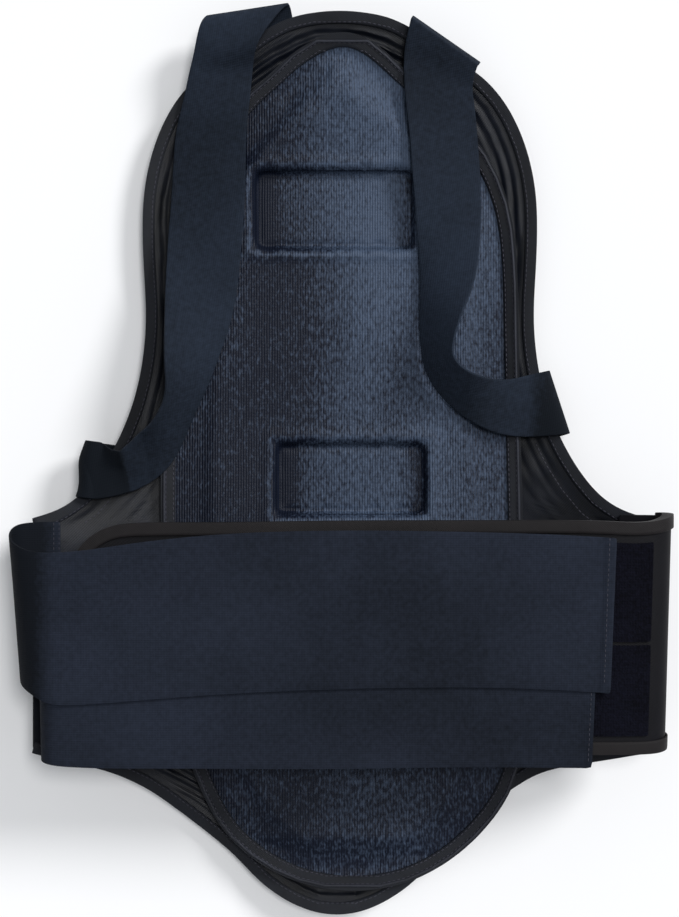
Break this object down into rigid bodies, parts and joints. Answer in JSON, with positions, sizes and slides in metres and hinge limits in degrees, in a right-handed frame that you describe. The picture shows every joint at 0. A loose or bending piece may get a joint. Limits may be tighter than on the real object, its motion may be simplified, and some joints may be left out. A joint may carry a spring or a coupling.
{
  "type": "motorcycle back protector",
  "caption": "Bound cloth back protector with a padded ribbed liner, two elastic shoulder straps and a wide closed waist belt, lying on its outer side.",
  "frame": {"origin": "on the floor under the middle of the whole, the bounding box bottom centre", "axes": "+X to the right across the back with the body side up, +Y towards the head end, +Z from the outer side to the body side"},
  "size_m": [0.389, 0.5474, 0.0734],
  "materials": {
    "base_cloth": "matte woven cloth",
    "binding_tape": "woven tape with a soft sheen",
    "liner_cloth": "brushed rib with a slight sheen",
    "elastic": "matte ribbed elastic",
    "loop_cloth": "matte loop pile"
  },
  "bodies": {
    "root": {"base_panel": "base_cloth", "base_binding_upper": "binding_tape", "base_binding_lower": "binding_tape", "liner_pad": "liner_cloth", "liner_binding": "binding_tape", "shoulder_strap_left": "elastic", "shoulder_strap_right": "elastic", "belt_flap": "base_cloth", "belt_flap_binding": "binding_tape", "loop_patch_upper": "loop_cloth", "loop_patch_lower": "loop_cloth", "belt_elastic_upper": "elastic", "belt_elastic_lower": "elastic"}
  },
  "joints": []
}
